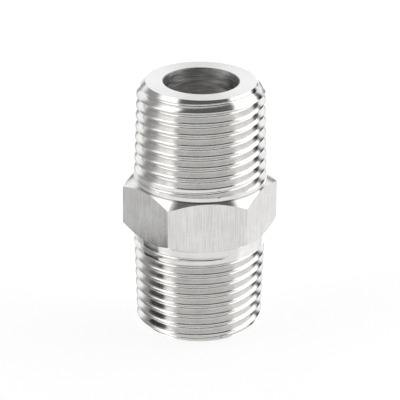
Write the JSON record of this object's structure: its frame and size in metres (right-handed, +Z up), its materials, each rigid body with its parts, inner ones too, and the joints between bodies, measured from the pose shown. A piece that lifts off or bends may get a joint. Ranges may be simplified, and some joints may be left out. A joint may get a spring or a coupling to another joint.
{
  "type": "hex nipple",
  "caption": "Short double-ended male pipe nipple in turned stainless steel, with a taper pipe thread on each end, a chamfered hexagon between them and a plain through bore.",
  "frame": {"origin": "centre of the lower end face, which the nipple stands on", "axes": "+Z up the bore axis to the upper end face, -Y square out of one flat of the hexagon, +X through a corner of the hexagon"},
  "size_m": [0.025, 0.0218, 0.0417],
  "materials": {
    "stainless_steel": "bright turned stainless steel: ringed tool marks on the threads, chamfers and end faces, drawn grain along the hexagon's flats"
  },
  "bodies": {
    "root": {"nipple_body": "stainless_steel"}
  },
  "joints": []
}
